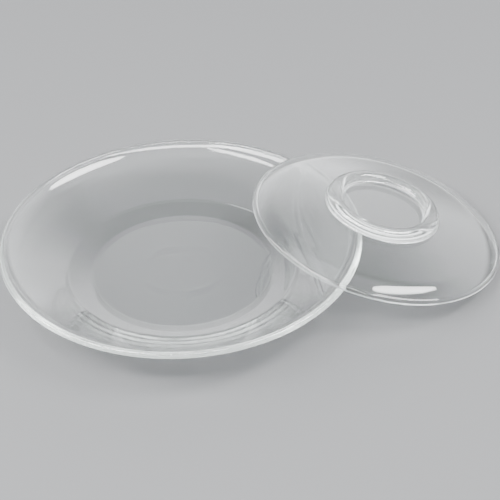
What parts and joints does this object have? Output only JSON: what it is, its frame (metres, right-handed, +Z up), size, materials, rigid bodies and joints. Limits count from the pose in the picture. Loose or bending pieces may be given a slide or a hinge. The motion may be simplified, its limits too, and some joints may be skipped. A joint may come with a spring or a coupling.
{
  "type": "watch glass",
  "caption": "Shallow pressed-glass watch-glass dishes: a large one upright on its flat base, a smaller footed one upside down against its edge.",
  "frame": {"origin": "centre of the large dish's flat base, on the surface that it stands on", "axes": "+Z up along the large dish's axis; +X across to the side where the small dish lies"},
  "size_m": [0.279, 0.2, 0.0432],
  "materials": {
    "clear_glass": "fire-polished pressed soda-lime glass with a faint green tint"
  },
  "bodies": {
    "large_dish": {"large_dish": "clear_glass"},
    "small_dish": {"small_dish": "clear_glass"}
  },
  "joints": [
    {"name": "lift_small_dish", "type": "slide", "parent": "large_dish", "child": "small_dish", "axis": [0, 0, 1], "range_m": [0, 0.12]}
  ]
}
